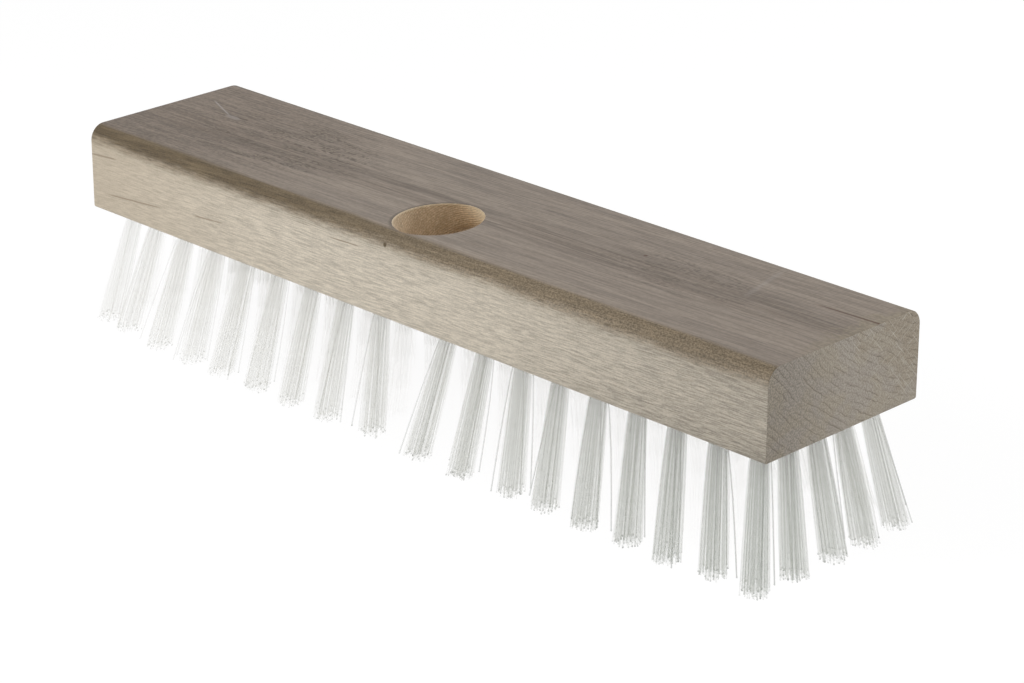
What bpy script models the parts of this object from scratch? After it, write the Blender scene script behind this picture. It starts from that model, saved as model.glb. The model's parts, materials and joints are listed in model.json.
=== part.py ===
"""Floor brush: an oblong beech block, bored obliquely for a handle and filled with rows of bristle tufts.

The block lies along X and its near long side faces -Y. Z = 0 is the plane of the trimmed bristle tips, on which
the brush stands, and the origin is under the middle of the block. Lengths are in metres.

The block is one object. The tufts of one crosswise column share another: their strands hang from a thin slice of the
drilled face, and their folded roots stand up in the block's own holes.
"""

import math

import bmesh
import bpy
from mathutils import Matrix, Vector

MM = 0.001

# Block
BLOCK_LENGTH = 280 * MM
BLOCK_WIDTH = 63 * MM
BLOCK_HEIGHT = 27 * MM
EDGE_RADIUS = 5 * MM  # on the two long top edges, where a hand holds the block
EDGE_SEGMENTS = 6

# Handle socket: a blind bore that goes down towards the far side, so that a handle leans to the near side
SOCKET_DIAMETER = 24.5 * MM
SOCKET_DEPTH = 18 * MM  # along the bore, from the centre of its mouth to its flat floor
SOCKET_TILT = math.radians(33.8)  # from upright
SOCKET_SETBACK = 18.1 * MM  # from the near side to the centre of the mouth
SOCKET_OFFSET = 1.5 * MM  # from the middle of the block to the centre of the mouth, to the left
SOCKET_WEB = 0.4 * MM  # least wood between the socket and a tuft hole
SOCKET_SIDES = 48

# Tuft holes
TUFT_ROWS = 5
TUFT_COLUMNS = 19
SIDE_MARGIN = 9.5 * MM  # from a long side to its nearest row of holes
END_MARGIN = 10 * MM  # from an end to its nearest column of holes
SHORT_STEP = 10.95 * MM  # between the two columns at the left end; the other steps are even
HOLE_DIAMETER = 5 * MM
HOLE_DEPTH = 10.5 * MM
HOLE_SIDES = 6

# Bristles
BRISTLE_LENGTH = 39 * MM  # from the drilled face to the trimmed tips
END_LEAN = 7.5 * MM  # how far out the tips of an end column lean; the others lean in proportion to their distance
SIDE_LEAN = 9.9 * MM  # the same for the tips of a side row
STRAND_DIAMETER = 1.5 * MM
STRAND_SIDES = 3
RING_STRANDS = 4  # round the one in the middle of each tuft
TIP_SPREAD = 8.4 * MM  # width of a tuft at its tips

# Slice of the drilled face that joins a column's tufts, let into the block
SLICE_THICKNESS = 2 * MM
SLICE_BORDER = 3.5 * MM  # wood of the block left around the slices
SLICE_OVERLAP_SHARE = 0.35  # of the slice's thickness, by which a strand or a root reaches into it
CLEARANCE = 0.3 * MM  # between neighbouring solids
CUT_OVERRUN = 1 * MM  # by which a cutter stands out of the face that it opens

FACE_HEIGHT = BRISTLE_LENGTH
TOP_HEIGHT = FACE_HEIGHT + BLOCK_HEIGHT
POCKET_DEPTH = SLICE_THICKNESS + CLEARANCE

BEECH = {"color": (0.54, 0.47, 0.37, 1.0), "roughness": 0.62}
CLEAR_BRISTLE = {"color": (0.86, 0.88, 0.86, 1.0), "roughness": 0.30}


def clear_scene():
    for obj in list(bpy.data.objects):
        bpy.data.objects.remove(obj)


def make_collection(name):
    collection = bpy.data.collections.new(name)
    bpy.context.scene.collection.children.link(collection)
    return collection


def make_material(name, look):
    material = bpy.data.materials.new(name)
    material.use_nodes = True
    shader = material.node_tree.nodes["Principled BSDF"]
    shader.inputs["Base Color"].default_value = look["color"]
    shader.inputs["Roughness"].default_value = look["roughness"]
    shader.inputs["Metallic"].default_value = 0.0
    return material


def add_object(name, bm, collection, material=None):
    """Puts the bmesh into a new object of this name and frees it."""
    mesh = bpy.data.meshes.new(name)
    bm.to_mesh(mesh)
    bm.free()
    obj = bpy.data.objects.new(name, mesh)
    collection.objects.link(obj)
    if material:
        mesh.materials.append(material)
    else:
        obj.hide_render = True
        obj.display_type = "WIRE"
    return obj


def add_box(bm, low, high):
    """A cube primitive stretched between two corners."""
    size = high - low
    place = Matrix.Translation((low + high) / 2) @ Matrix.Diagonal((*size, 1.0))
    bmesh.ops.create_cube(bm, size=1.0, matrix=place)


def add_leaning_cone(bm, bottom, top, radius, sides, turn=0.0):
    """A cylinder primitive whose axis leans from bottom to top while its two ends stay level.

    Its first corner points along +Y, turned about Z by the angle given.
    """
    axis = top - bottom
    lean = Matrix.Identity(4)
    lean[0][2] = axis.x / axis.z
    lean[1][2] = axis.y / axis.z
    place = Matrix.Translation((bottom + top) / 2) @ lean @ Matrix.Rotation(turn, 4, "Z")
    bmesh.ops.create_cone(
        bm, cap_ends=True, segments=sides, radius1=radius, radius2=radius, depth=axis.z, matrix=place
    )


def add_boolean(obj, operation, other):
    modifier = obj.modifiers.new(f"{operation.lower()} {other.name}", "BOOLEAN")
    modifier.operation = operation
    modifier.solver = "EXACT"
    modifier.object = other


def last_column():
    return BLOCK_LENGTH / 2 - END_MARGIN


def last_row():
    return BLOCK_WIDTH / 2 - SIDE_MARGIN


def column_places():
    """X of each column: the short step at the left end, then even steps as far as the right end."""
    last = last_column()
    second = SHORT_STEP - last
    steps = TUFT_COLUMNS - 2
    return [-last] + [second + (last - second) * step / steps for step in range(steps + 1)]


def row_places():
    """Y of each row, evenly spaced between the two side margins."""
    outer = last_row()
    return [-outer + 2 * outer * row / (TUFT_ROWS - 1) for row in range(TUFT_ROWS)]


def tuft_axis(x, y, height):
    """Point of a tuft's axis at this height above the tips. The axis runs on, straight, into the wood."""
    drop = (FACE_HEIGHT - height) / BRISTLE_LENGTH
    along = x / last_column() * END_LEAN * drop
    across = y / last_row() * SIDE_LEAN * drop
    return Vector((x + along, y + across, height))


def socket_mouth():
    return Vector((-SOCKET_OFFSET, SOCKET_SETBACK - BLOCK_WIDTH / 2, TOP_HEIGHT))


def socket_direction():
    """Unit vector down the bore."""
    return Vector((0.0, math.sin(SOCKET_TILT), -math.cos(SOCKET_TILT)))


def clears_socket(x, y):
    """Whether a tuft hole at this place leaves enough wood between its inner end and the socket."""
    arm = tuft_axis(x, y, FACE_HEIGHT + HOLE_DEPTH) - socket_mouth()
    along = arm.dot(socket_direction())
    beside = (arm - along * socket_direction()).length
    gap = math.hypot(max(0.0, beside - SOCKET_DIAMETER / 2), max(0.0, along - SOCKET_DEPTH))
    return gap >= HOLE_DIAMETER / 2 + SOCKET_WEB


def tuft_columns():
    """A list of (column's x, the y of each tuft in it)."""
    return [(x, [y for y in row_places() if clears_socket(x, y)]) for x in column_places()]


def make_socket_cutter(collection):
    """The bore, lengthened outwards until its upper end is clear of the block all round."""
    radius = SOCKET_DIAMETER / 2
    overrun = radius * math.tan(SOCKET_TILT) + CUT_OVERRUN
    middle = socket_mouth() + socket_direction() * (SOCKET_DEPTH - overrun) / 2
    turned = Matrix.Rotation(SOCKET_TILT, 4, "X")
    bm = bmesh.new()
    bmesh.ops.create_cone(
        bm,
        cap_ends=True,
        segments=SOCKET_SIDES,
        radius1=radius,
        radius2=radius,
        depth=SOCKET_DEPTH + overrun,
        matrix=Matrix.Translation(middle) @ turned,
    )
    return add_object("socket_cutter", bm, collection)


def pocket_corners():
    """Lowest and highest corner of the shallow pocket that takes the slices, without its overrun."""
    half_length = BLOCK_LENGTH / 2 - SLICE_BORDER
    half_width = BLOCK_WIDTH / 2 - SLICE_BORDER
    low = Vector((-half_length, -half_width, FACE_HEIGHT))
    high = Vector((half_length, half_width, FACE_HEIGHT + POCKET_DEPTH))
    return low, high


def make_pocket_cutter(collection):
    low, high = pocket_corners()
    bm = bmesh.new()
    add_box(bm, low - Vector((0.0, 0.0, CUT_OVERRUN)), high)
    return add_object("pocket_cutter", bm, collection)


def make_hole_cutter(collection):
    """One leaning drill hole for each tuft."""
    bm = bmesh.new()
    for x, places in tuft_columns():
        for y in places:
            bottom = tuft_axis(x, y, FACE_HEIGHT)
            top = tuft_axis(x, y, FACE_HEIGHT + HOLE_DEPTH)
            add_leaning_cone(bm, bottom, top, HOLE_DIAMETER / 2, HOLE_SIDES)
    return add_object("hole_cutter", bm, collection)


def make_block(collection, cutters, material):
    """A box with its two long top edges rounded, then the socket, the pocket and the tuft holes cut out."""
    low = Vector((-BLOCK_LENGTH / 2, -BLOCK_WIDTH / 2, FACE_HEIGHT))
    high = Vector((BLOCK_LENGTH / 2, BLOCK_WIDTH / 2, TOP_HEIGHT))
    middle_height = (FACE_HEIGHT + TOP_HEIGHT) / 2
    bm = bmesh.new()
    add_box(bm, low, high)
    long_top_edges = [
        edge
        for edge in bm.edges
        if all(vert.co.z > middle_height for vert in edge.verts) and edge.calc_length() > BLOCK_LENGTH / 2
    ]
    bmesh.ops.bevel(
        bm, geom=long_top_edges, offset=EDGE_RADIUS, segments=EDGE_SEGMENTS, profile=0.5, affect="EDGES"
    )
    block = add_object("block", bm, collection, material)
    add_boolean(block, "DIFFERENCE", make_pocket_cutter(cutters))
    add_boolean(block, "DIFFERENCE", make_hole_cutter(cutters))
    add_boolean(block, "DIFFERENCE", make_socket_cutter(cutters))


def strand_places():
    """A tuft's strands, as (share of the ring's radius, turn about Z): one in the middle and the rest on the ring."""
    turns = [2 * math.pi * (strand + 0.5) / RING_STRANDS for strand in range(RING_STRANDS)]
    return [(0.0, 0.0)] + [(1.0, turn) for turn in turns]


def add_tuft(bm, x, y):
    """The strands of one tuft, cut off level at the tips, and its folded root above them."""
    reach = SLICE_OVERLAP_SHARE * SLICE_THICKNESS
    strand_radius = STRAND_DIAMETER / 2
    root_radius = HOLE_DIAMETER / 2 - CLEARANCE
    ring_at_face = HOLE_DIAMETER / 2 - strand_radius
    ring_at_tips = TIP_SPREAD / 2 - strand_radius
    for share, turn in strand_places():
        outwards = Matrix.Rotation(turn, 3, "Z") @ Vector((0.0, share, 0.0))
        tip = tuft_axis(x, y, 0.0) + outwards * ring_at_tips
        root = tuft_axis(x, y, FACE_HEIGHT + reach) + outwards * ring_at_face
        add_leaning_cone(bm, tip, root, strand_radius, STRAND_SIDES, turn)
    bottom = tuft_axis(x, y, FACE_HEIGHT + SLICE_THICKNESS - reach)
    top = tuft_axis(x, y, FACE_HEIGHT + HOLE_DEPTH - CLEARANCE)
    add_leaning_cone(bm, bottom, top, root_radius, HOLE_SIDES)


def slice_edges():
    """X of the joints between neighbouring slices, with the pocket's two ends."""
    places = column_places()
    low, high = pocket_corners()
    between = [(left + right) / 2 for left, right in zip(places, places[1:])]
    outset = CLEARANCE / 2  # the full clearance is kept at the pocket's ends, and half of it on each side of a joint
    return [low.x + outset] + between + [high.x - outset]


def make_tuft_columns(collection, cutters, material):
    """One object for each column: its slice of the drilled face with the tufts joined to it."""
    low, high = pocket_corners()
    edges = slice_edges()
    for index, (x, places) in enumerate(tuft_columns()):
        bm = bmesh.new()
        left = edges[index] + CLEARANCE / 2
        right = edges[index + 1] - CLEARANCE / 2
        add_box(
            bm,
            Vector((left, low.y + CLEARANCE, FACE_HEIGHT)),
            Vector((right, high.y - CLEARANCE, FACE_HEIGHT + SLICE_THICKNESS)),
        )
        column = add_object(f"tuft_column_{index + 1:02d}", bm, collection, material)
        tufts = bmesh.new()
        for y in places:
            add_tuft(tufts, x, y)
        add_boolean(column, "UNION", add_object(f"tufts_{index + 1:02d}", tufts, cutters))


def main():
    clear_scene()
    parts = make_collection("floor_brush")
    cutters = make_collection("cutters")
    make_block(parts, cutters, make_material("beech", BEECH))
    make_tuft_columns(parts, cutters, make_material("clear_bristle", CLEAR_BRISTLE))


main()
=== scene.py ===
# %% [markdown]
# # Dressing a floor brush
#
# The brush is an oblong beech block, bored at a slant for a broom handle and filled below with
# ninety-three tufts of clear nylon filament. Its solids are already built at their real size and
# are loaded here as a fixed frame. This lesson gives that frame its looks: worn and stained wood, a
# freshly bored socket, and ten thousand thin filaments in place of the frame's thick strands.
#
# Everything is in metres, with X along the block, the near long side facing -Y, and the trimmed
# tips at Z = 0.

# %% Load the frame
import json
import math

import bpy
import numpy as np
from mathutils import Matrix, Vector

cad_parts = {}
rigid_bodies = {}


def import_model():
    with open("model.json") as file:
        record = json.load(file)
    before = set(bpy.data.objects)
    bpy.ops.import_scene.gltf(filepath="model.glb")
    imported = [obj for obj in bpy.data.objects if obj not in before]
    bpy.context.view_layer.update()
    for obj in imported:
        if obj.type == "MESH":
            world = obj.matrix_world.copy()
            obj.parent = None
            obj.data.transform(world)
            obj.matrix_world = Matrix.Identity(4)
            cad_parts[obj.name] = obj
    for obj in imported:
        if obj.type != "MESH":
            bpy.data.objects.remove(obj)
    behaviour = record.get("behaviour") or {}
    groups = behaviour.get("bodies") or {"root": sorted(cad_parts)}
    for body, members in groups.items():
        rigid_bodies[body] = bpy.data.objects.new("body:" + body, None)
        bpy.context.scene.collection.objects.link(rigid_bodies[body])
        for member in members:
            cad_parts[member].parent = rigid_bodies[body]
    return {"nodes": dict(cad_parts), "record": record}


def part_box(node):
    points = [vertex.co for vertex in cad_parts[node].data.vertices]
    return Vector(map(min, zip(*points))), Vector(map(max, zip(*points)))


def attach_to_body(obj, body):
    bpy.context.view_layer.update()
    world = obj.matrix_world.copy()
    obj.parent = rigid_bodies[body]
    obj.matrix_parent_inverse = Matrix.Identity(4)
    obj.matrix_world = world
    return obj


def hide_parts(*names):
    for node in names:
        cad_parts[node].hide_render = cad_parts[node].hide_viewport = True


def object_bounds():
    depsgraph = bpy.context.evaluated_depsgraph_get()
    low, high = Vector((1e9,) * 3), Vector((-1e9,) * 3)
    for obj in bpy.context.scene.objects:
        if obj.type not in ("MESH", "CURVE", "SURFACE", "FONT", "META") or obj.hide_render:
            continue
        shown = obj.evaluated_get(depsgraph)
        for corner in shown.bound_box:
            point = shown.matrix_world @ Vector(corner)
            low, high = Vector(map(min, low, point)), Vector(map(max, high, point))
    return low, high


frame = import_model()
cad_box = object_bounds()

MM = 0.001
block_low, block_high = (np.array(corner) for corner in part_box("block"))
columns = sorted(name for name in frame["nodes"] if name.startswith("tuft_column"))
print("block, mm:", np.round((block_high - block_low) / MM, 2), "on", len(columns), "columns of tufts")

# %% [markdown]
# ## Camera
#
# The camera stands where the photographer's did. Its direction, distance and lens were found by
# matching the block's corners, so a render lies over the photograph. A long lens from about a metre
# keeps the block's long edges nearly parallel.

# %% Camera
SENSOR_WIDTH = 36.0
LENS = 116.43
CAMERA_AZIMUTH = math.radians(44.86)
CAMERA_ELEVATION = math.radians(22.20)
CAMERA_ROLL = math.radians(0.11)
CAMERA_DISTANCE = 1018.0 * MM
CAMERA_AIM = Vector((-15.66, 31.03, 10.87)) * MM


def direction(azimuth, elevation):
    """Unit vector towards a point at this azimuth, counted from -Y towards +X, and this elevation."""
    level = math.cos(elevation)
    return Vector((math.sin(azimuth) * level, -math.cos(azimuth) * level, math.sin(elevation)))


def add_camera():
    """The camera's own axes are right, up and back, so they are the columns of its rotation."""
    back = direction(CAMERA_AZIMUTH, CAMERA_ELEVATION)
    turn = (-back).to_track_quat("-Z", "Y").to_matrix() @ Matrix.Rotation(CAMERA_ROLL, 3, "Z")
    data = bpy.data.cameras.new("camera")
    data.sensor_width = SENSOR_WIDTH
    data.lens = LENS
    camera = bpy.data.objects.new("camera", data)
    camera.matrix_world = Matrix.Translation(CAMERA_AIM + back * CAMERA_DISTANCE) @ turn.to_4x4()
    bpy.context.scene.collection.objects.link(camera)
    bpy.context.scene.camera = camera
    return camera


camera = add_camera()
print("camera at, mm:", [round(value / MM) for value in camera.matrix_world.translation])

# %% [markdown]
# ## Shader maths
#
# A procedural finish is arithmetic on sockets, and it reads best as arithmetic. The class below
# wraps one output socket. Python's operators on it add Math nodes, so that `1 - mask * 0.4` is a
# piece of node tree. Every other node comes from its one method, `node`.

# %% A socket that can be added and multiplied
class Wire:
    """One output socket of a node tree, with operators that add Math nodes."""

    def __init__(self, tree, socket=None):
        self.tree = tree
        self.socket = socket

    def node(self, kind, settings=None, sockets=None, output=0):
        """Adds a node, sets it up, feeds its sockets with values or wires, and wraps an output."""
        made = self.tree.nodes.new(kind)
        for name, value in (settings or {}).items():
            setattr(made, name, value)
        for name, value in (sockets or {}).items():
            if isinstance(value, Wire):
                self.tree.links.new(value.socket, made.inputs[name])
            else:
                made.inputs[name].default_value = value
        return Wire(self.tree, made.outputs[output] if made.outputs else None)

    def maths(self, operation, first, second=0.0):
        return self.node("ShaderNodeMath", {"operation": operation}, {0: first, 1: second})

    def __add__(self, other):
        return self.maths("ADD", self, other)

    def __radd__(self, other):
        return self.maths("ADD", other, self)

    def __sub__(self, other):
        return self.maths("SUBTRACT", self, other)

    def __rsub__(self, other):
        return self.maths("SUBTRACT", other, self)

    def __mul__(self, other):
        return self.maths("MULTIPLY", self, other)

    def __rmul__(self, other):
        return self.maths("MULTIPLY", other, self)

    def __truediv__(self, other):
        return self.maths("DIVIDE", self, other)

    def __pow__(self, other):
        return self.maths("POWER", self, other)

    def __abs__(self):
        return self.maths("ABSOLUTE", self)


# %% [markdown]
# ## Floor, backdrop and light
#
# The photograph is a product shot on pure white. The floor and the world therefore show the lens a
# plain white, while the light that they give the brush stays at an ordinary level. A large lamp at
# the front left makes the near side the brightest face and lets the light fall off towards the
# right.

# %% Stage
FLOOR_HALF = 6.0
FLOOR_GLOW = 0.88
FLOOR_SHADE = (0.18, 0.18, 0.18, 1.0)
FLOOR_WHITE = (0.86, 0.86, 0.86, 1.0)
PURE_WHITE = (1.0, 1.0, 1.0, 1.0)
WORLD_LEVEL = 0.45
SEEN_RAYS = ("Is Camera Ray", "Is Glossy Ray", "Is Transmission Ray")
KEY_AIM = Vector((-0.02, 0.0, 0.05))
LOW_AIM = Vector((0.0, 0.0, 0.03))


def seen_directly(start):
    """1 for rays that show the background itself: to the lens, in a gloss or through a clear filament."""
    to_lens, in_gloss, through = (start.node("ShaderNodeLightPath", output=name) for name in SEEN_RAYS)
    return start.maths("MAXIMUM", start.maths("MAXIMUM", to_lens, in_gloss), through)


def add_world():
    world = bpy.data.worlds.new("white_studio")
    world.use_nodes = True
    start = Wire(world.node_tree)
    seen = seen_directly(start)
    level = WORLD_LEVEL + seen * (1.0 - WORLD_LEVEL)
    background = world.node_tree.nodes["Background"]
    background.inputs["Color"].default_value = PURE_WHITE
    world.node_tree.links.new(level.socket, background.inputs["Strength"])
    bpy.context.scene.world = world


def floor_material():
    """White to the lens with a faint shadow, a white diffuser to other rays, and clear from below."""
    material = bpy.data.materials.new("white_floor")
    material.use_nodes = True
    tree = material.node_tree
    tree.nodes.clear()
    start = Wire(tree)
    seen = seen_directly(start)
    plain = start.node("ShaderNodeBsdfDiffuse", sockets={"Color": FLOOR_WHITE})
    shaded = start.node("ShaderNodeBsdfDiffuse", sockets={"Color": FLOOR_SHADE})
    glow = start.node("ShaderNodeEmission", sockets={"Color": PURE_WHITE, "Strength": FLOOR_GLOW})
    shown = start.node("ShaderNodeAddShader", sockets={0: shaded, 1: glow})
    above = start.node("ShaderNodeMixShader", sockets={0: seen, 1: plain, 2: shown})
    below = start.node("ShaderNodeBsdfTransparent")
    backface = start.node("ShaderNodeNewGeometry", output="Backfacing")
    both = start.node("ShaderNodeMixShader", sockets={0: backface, 1: above, 2: below})
    start.node("ShaderNodeOutputMaterial", sockets={"Surface": both})
    return material


def add_floor():
    corners = np.array([(-1, -1, 0), (1, -1, 0), (1, 1, 0), (-1, 1, 0)]) * FLOOR_HALF
    mesh = bpy.data.meshes.new("floor")
    mesh.from_pydata(corners.tolist(), [], [(0, 1, 2, 3)])
    mesh.materials.append(floor_material())
    floor = bpy.data.objects.new("floor", mesh)
    bpy.context.scene.collection.objects.link(floor)


def add_lamp(name, azimuth, elevation, distance, size, power, aim):
    """A square soft box that looks at its aim from this direction, in degrees, and distance."""
    data = bpy.data.lights.new(name, "AREA")
    data.size = size
    data.energy = power
    back = direction(math.radians(azimuth), math.radians(elevation))
    lamp = bpy.data.objects.new(name, data)
    turn = (-back).to_track_quat("-Z", "Y").to_matrix()
    lamp.matrix_world = Matrix.Translation(aim + back * distance) @ turn.to_4x4()
    bpy.context.scene.collection.objects.link(lamp)


add_world()
add_floor()
add_lamp("key_soft_box", azimuth=-20.0, elevation=28.0, distance=0.62, size=0.35, power=1.75, aim=KEY_AIM)
add_lamp("fill_soft_box", azimuth=75.0, elevation=30.0, distance=1.6, size=0.9, power=5.0, aim=LOW_AIM)
add_lamp("back_soft_box", azimuth=160.0, elevation=14.0, distance=1.2, size=0.8, power=4.0, aim=LOW_AIM)
bpy.context.scene.view_settings.view_transform = "Standard"
print("stage: white floor and world, key lamp at the front left, fill at the right, a low one behind")

# %% [markdown]
# ## Skins
#
# Every shape here is a skin over rings of points: the block's outline carried along X, the bore's
# circle carried down its axis, a filament's circle carried along its curve. One function joins such
# rings with quads and closes both ends, for any number of bodies at once, as whole arrays.

# %% Skins over rings of points
def skin(name, rings):
    """A closed mesh over an array of shape (bodies, rings, sides, 3).

    Ring r's point s is joined to its neighbours s + 1 and r + 1, and the first and last ring are closed
    by one face each. Faces point outwards where a ring turns counter-clockwise as seen from the last
    ring's side.
    """
    bodies, count, sides = rings.shape[:3]
    index = np.arange(bodies * count * sides).reshape(bodies, count, sides)
    here, over = index, np.roll(index, -1, axis=2)
    quads = np.stack([here[:, :-1], over[:, :-1], over[:, 1:], here[:, 1:]], axis=-1).reshape(-1, 4)
    caps = np.concatenate([index[:, 0, ::-1], index[:, -1]])
    mesh = bpy.data.meshes.new(name)
    mesh.vertices.add(index.size)
    mesh.vertices.foreach_set("co", rings.astype(np.float32).ravel())
    corners = np.concatenate([quads.ravel(), caps.ravel()])
    starts = np.concatenate([np.arange(len(quads)) * 4, quads.size + np.arange(len(caps)) * sides])
    mesh.loops.add(len(corners))
    mesh.loops.foreach_set("vertex_index", corners.astype(np.int32))
    mesh.polygons.add(len(starts))
    mesh.polygons.foreach_set("loop_start", starts.astype(np.int32))
    mesh.update(calc_edges=True)
    mesh.validate()
    return mesh


def add_object(name, mesh):
    thing = bpy.data.objects.new(name, mesh)
    bpy.context.scene.collection.objects.link(thing)
    return thing


def smooth(mesh, sharp_angle):
    mesh.shade_smooth()
    mesh.set_sharp_from_angle(angle=math.radians(sharp_angle))


# %% [markdown]
# ## The block's body
#
# The real block was planed square, had its two long top edges run past a round-over cutter, and was
# sawn off at both ends. Its skin is that cross-section carried along X. At the two ends the section
# draws in by a few tenths of a millimetre, so that the sawn arris catches the light as a worn one
# does.

# %% Cross-section and body of the block
TOP_RADIUS = 5.0 * MM
LOW_RADIUS = 0.7 * MM
ARRIS = 0.35 * MM
HOLDING = 0.5 * MM  # flat strip beside each rounding, which keeps the big faces evenly shaded
ARC_POINTS = 13
ARRIS_RINGS = 4
OUTLINE_POINTS = 4 * (ARC_POINTS + 2)  # each corner's arc has one more point beside each of its ends
BODY_STEP = 10.0 * MM


def corner(centre, radius, start):
    """Quarter circle about centre from the angle start, and a point on the flat beside each end."""
    turn = start + np.linspace(0.0, math.pi / 2, ARC_POINTS)
    arc = np.array(centre) + radius * np.stack([np.cos(turn), np.sin(turn)], axis=1)
    along = np.array([-math.sin(start), math.cos(start)])
    last = np.array([-math.sin(turn[-1]), math.cos(turn[-1])])
    return np.vstack([arc[0] - along * HOLDING, arc, arc[-1] + last * HOLDING])


def section(inset):
    """The outline in (y, z), counter-clockwise from +X: four quarter circles about fixed centres.

    The inset shortens each radius, which moves the whole outline inwards by the same amount.
    """
    near, low = block_low[1:]
    far, high = block_high[1:]
    return np.vstack([
        corner((far - LOW_RADIUS, low + LOW_RADIUS), LOW_RADIUS - inset, -math.pi / 2),
        corner((far - TOP_RADIUS, high - TOP_RADIUS), TOP_RADIUS - inset, 0.0),
        corner((near + TOP_RADIUS, high - TOP_RADIUS), TOP_RADIUS - inset, math.pi / 2),
        corner((near + LOW_RADIUS, low + LOW_RADIUS), LOW_RADIUS - inset, math.pi),
    ])


def body_rings():
    """Sections along X: a quarter round of the arris's radius at each end, and even steps between."""
    turn = np.linspace(0.0, math.pi / 2, ARRIS_RINGS)
    drop = ARRIS * (1.0 - np.sin(turn))
    inset = ARRIS * (1.0 - np.cos(turn))
    steps = round((block_high[0] - block_low[0]) / BODY_STEP)
    middle = np.linspace(block_low[0] + ARRIS + HOLDING, block_high[0] - ARRIS - HOLDING, steps)
    places = np.concatenate([block_low[0] + drop[::-1], middle, block_high[0] - drop])
    insets = np.concatenate([inset[::-1], np.zeros(steps), inset])
    rings = [np.column_stack([np.full(OUTLINE_POINTS, x), section(i)]) for x, i in zip(places, insets)]
    return np.array(rings)[None]


body = body_rings()
print("block body:", body.shape[1], "sections of", body.shape[2], "points")

# %% [markdown]
# ## The bores
#
# A broom handle is driven into a socket that leans, so that the handle comes up towards the
# sweeper. The frame's record gives the middle of the socket's floor and the way it faces, which is
# all that places the bore. The cutter is a turned body: circles along the axis, whose radius
# carries the shallow rings that the bit's feed left.
#
# Below, each tuft sits in a hole of its own, drilled along the tuft's lean. The holes' cutters go
# into one mesh, because none of them meet, and one exact Boolean takes them out of the block. A
# second one takes out the socket.

# %% Where the tufts are
TUFT_ROWS = 5
TUFT_COLUMNS = len(columns)
SIDE_MARGIN = 9.5 * MM
END_MARGIN = 10.0 * MM
SHORT_STEP = 10.95 * MM
END_LEAN = 7.5 * MM
SIDE_LEAN = 9.9 * MM
HOLE_RADIUS = 2.5 * MM
HOLE_DEPTH = 10.5 * MM
SOCKET_RADIUS = 12.25 * MM
SOCKET_DEPTH = 18.0 * MM
SOCKET_WEB = 0.4 * MM

face_height = float(block_low[2])
last_column = float(block_high[0]) - END_MARGIN
last_row = float(block_high[1]) - SIDE_MARGIN
seat = next(mount for mount in frame["record"]["mounts"] if mount["name"] == "handle_seat")
bore_down = -np.array(seat["axis"])
bore_mouth = np.array(seat["pos_m"]) - bore_down * SOCKET_DEPTH


def tuft_axis(x, y, height):
    """Point of a tuft's straight axis at this height.

    It leans out in proportion to its place on the face and to the way down to the tips.
    """
    drop = (face_height - height) / face_height
    out_x = 1.0 + END_LEAN / last_column * drop
    out_y = 1.0 + SIDE_LEAN / last_row * drop
    return np.array([x * out_x, y * out_y, height])


def clears_bore(x, y):
    """Whether the inner end of a tuft hole leaves enough wood to the socket."""
    arm = tuft_axis(x, y, face_height + HOLE_DEPTH) - bore_mouth
    along = arm @ bore_down
    beside = np.linalg.norm(arm - along * bore_down)
    gap = math.hypot(max(0.0, beside - SOCKET_RADIUS), max(0.0, along - SOCKET_DEPTH))
    return gap >= HOLE_RADIUS + SOCKET_WEB


# The first step along the block is short, the others are even.
columns_x = [-last_column, *np.linspace(SHORT_STEP - last_column, last_column, TUFT_COLUMNS - 1)]
rows_y = np.linspace(-last_row, last_row, TUFT_ROWS)
tufts = [[(x, y) for y in rows_y if clears_bore(x, y)] for x in columns_x]
print("tufts:", sum(len(column) for column in tufts))

# %% Cutters for the bores
SOCKET_SIDES = 72
SOCKET_OVERRUN = 10.0 * MM
FEED_PITCH = 0.85 * MM
FEED_DEPTH = 0.06 * MM
FEED_SAMPLES = 5  # rings of points for each turn of the bit
HOLE_SIDES = 20
HOLE_OVERRUN = 1.0 * MM
WALL_SLOT = 1


def circle(sides):
    """Unit circle, counter-clockwise, as an array of (cos, sin)."""
    turn = np.linspace(0.0, 2 * math.pi, sides, endpoint=False)
    return np.stack([np.cos(turn), np.sin(turn)], axis=1)


def bore_rings():
    """Circles along the bore's axis, from its floor up and out of the wood.

    The radius is the bore's own, less a small cosine of the distance from the mouth, one wave for each
    turn of the bit.
    """
    side = np.array([1.0, 0.0, 0.0])
    other = np.cross(-bore_down, side)
    count = round((SOCKET_DEPTH + SOCKET_OVERRUN) / FEED_PITCH * FEED_SAMPLES)
    depth = np.linspace(SOCKET_DEPTH, -SOCKET_OVERRUN, count)
    radius = SOCKET_RADIUS - FEED_DEPTH * (0.5 + 0.5 * np.cos(2 * math.pi * depth / FEED_PITCH))
    unit = circle(SOCKET_SIDES)
    spoke = unit[:, :1] * side + unit[:, 1:] * other
    return (bore_mouth + depth[:, None] * bore_down)[:, None] + radius[:, None, None] * spoke


def hole_rings():
    """Two level circles for each tuft hole, at its inner end and just below the face."""
    unit = circle(HOLE_SIDES)
    flat = np.column_stack([unit, np.zeros(HOLE_SIDES)]) * HOLE_RADIUS
    heights = (face_height - HOLE_OVERRUN, face_height + HOLE_DEPTH)
    return np.array([[tuft_axis(x, y, h) + flat for h in heights] for column in tufts for x, y in column])


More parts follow.
